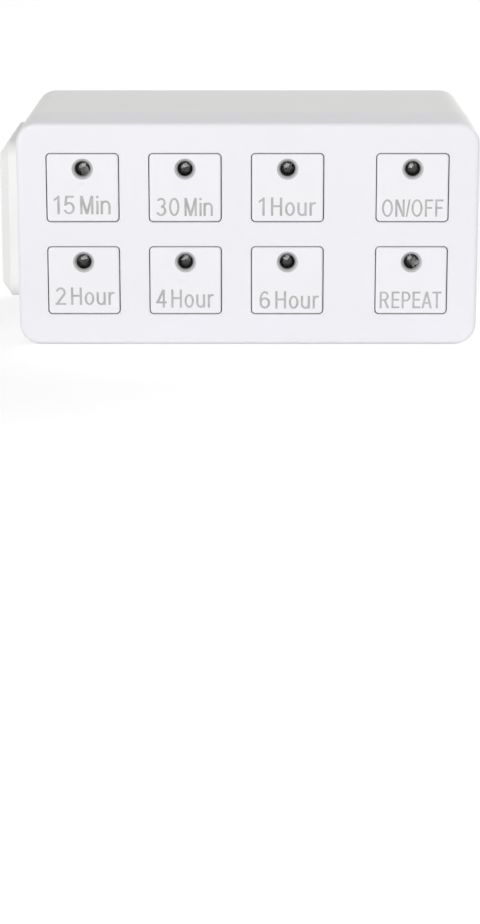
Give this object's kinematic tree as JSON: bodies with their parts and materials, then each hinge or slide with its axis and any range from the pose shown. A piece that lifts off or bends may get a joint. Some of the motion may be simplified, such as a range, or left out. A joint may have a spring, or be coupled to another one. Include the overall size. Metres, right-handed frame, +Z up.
{
  "type": "plug-in timer switch",
  "caption": "Slab-shaped countdown timer that plugs into a wall outlet, with sprung push keys, an indicator lamp in each key and a raised grounded outlet on its left side.",
  "frame": {"origin": "on the wall face, midway between the two flat plug blades", "axes": "+X to the right seen from the front, +Y into the wall along the blades, +Z up"},
  "size_m": [0.0738, 0.0561, 0.0346],
  "materials": {
    "case_plastic": "fine satin texture, moulded",
    "key_plastic": "smooth satin, moulded, printed in grey",
    "lamp_lens": "clear moulded resin over a dark die",
    "carrier_plastic": "moulded thermoset",
    "black_plastic": "moulded",
    "relay_plastic": "glossy moulded",
    "board_green": "lacquered laminate",
    "capacitor_yellow": "cast case",
    "capacitor_sleeve": "shrunk sleeve",
    "varistor_coat": "dipped coat",
    "resistor_coat": "cement coat",
    "plated_steel": "nickel plated",
    "tinned_lead": "tinned",
    "plug_metal": "nickel plated brass",
    "brass_strip": "stamped strip"
  },
  "bodies": {
    "root": {"front_cover": "case_plastic", "rear_housing": "case_plastic", "outlet_plate": "case_plastic", "contact_carrier": "carrier_plastic", "switch_bodies": "black_plastic", "switch_plates": "plated_steel", "switch_legs": "tinned_lead", "indicator_lamps": "lamp_lens", "lamp_spacers": "carrier_plastic", "lamp_leads": "tinned_lead", "control_board": "board_green", "board_screws": "plated_steel", "microcontroller": "black_plastic", "crystal": "plated_steel", "chip_resistors": "black_plastic", "power_board": "board_green", "power_board_screws": "plated_steel", "relay_base": "black_plastic", "relay_case": "relay_plastic", "film_capacitor": "capacitor_yellow", "smoothing_capacitor": "capacitor_sleeve", "varistor": "varistor_coat", "rectifier_diodes": "black_plastic", "fuse_resistor": "resistor_coat", "link_headers": "black_plastic", "link_pins": "brass_strip", "neutral_blade": "plug_metal", "line_blade": "plug_metal", "ground_pin": "plug_metal", "line_contact": "brass_strip", "neutral_contact": "brass_strip", "ground_contact": "brass_strip", "line_bar": "brass_strip", "neutral_bar": "brass_strip", "ground_strap": "brass_strip", "case_screws": "plated_steel"},
    "button_15_min": {"key_15_min": "key_plastic", "plunger_15_min": "black_plastic"},
    "button_30_min": {"key_30_min": "key_plastic", "plunger_30_min": "black_plastic"},
    "button_1_hour": {"key_1_hour": "key_plastic", "plunger_1_hour": "black_plastic"},
    "button_on_off": {"key_on_off": "key_plastic", "plunger_on_off": "black_plastic"},
    "button_2_hour": {"key_2_hour": "key_plastic", "plunger_2_hour": "black_plastic"},
    "button_4_hour": {"key_4_hour": "key_plastic", "plunger_4_hour": "black_plastic"},
    "button_6_hour": {"key_6_hour": "key_plastic", "plunger_6_hour": "black_plastic"},
    "button_repeat": {"key_repeat": "key_plastic", "plunger_repeat": "black_plastic"}
  },
  "joints": [
    {"name": "press_15_min", "type": "slide", "parent": "root", "child": "button_15_min", "axis": [0, 1, 0], "range_m": [0, 0.0004], "stiffness_N_per_m": 1500, "springref_m": -0.0006},
    {"name": "press_30_min", "type": "slide", "parent": "root", "child": "button_30_min", "axis": [0, 1, 0], "range_m": [0, 0.0004], "stiffness_N_per_m": 1500, "springref_m": -0.0006},
    {"name": "press_1_hour", "type": "slide", "parent": "root", "child": "button_1_hour", "axis": [0, 1, 0], "range_m": [0, 0.0004], "stiffness_N_per_m": 1500, "springref_m": -0.0006},
    {"name": "press_on_off", "type": "slide", "parent": "root", "child": "button_on_off", "axis": [0, 1, 0], "range_m": [0, 0.0004], "stiffness_N_per_m": 1500, "springref_m": -0.0006},
    {"name": "press_2_hour", "type": "slide", "parent": "root", "child": "button_2_hour", "axis": [0, 1, 0], "range_m": [0, 0.0004], "stiffness_N_per_m": 1500, "springref_m": -0.0006},
    {"name": "press_4_hour", "type": "slide", "parent": "root", "child": "button_4_hour", "axis": [0, 1, 0], "range_m": [0, 0.0004], "stiffness_N_per_m": 1500, "springref_m": -0.0006},
    {"name": "press_6_hour", "type": "slide", "parent": "root", "child": "button_6_hour", "axis": [0, 1, 0], "range_m": [0, 0.0004], "stiffness_N_per_m": 1500, "springref_m": -0.0006},
    {"name": "press_repeat", "type": "slide", "parent": "root", "child": "button_repeat", "axis": [0, 1, 0], "range_m": [0, 0.0004], "stiffness_N_per_m": 1500, "springref_m": -0.0006}
  ]
}
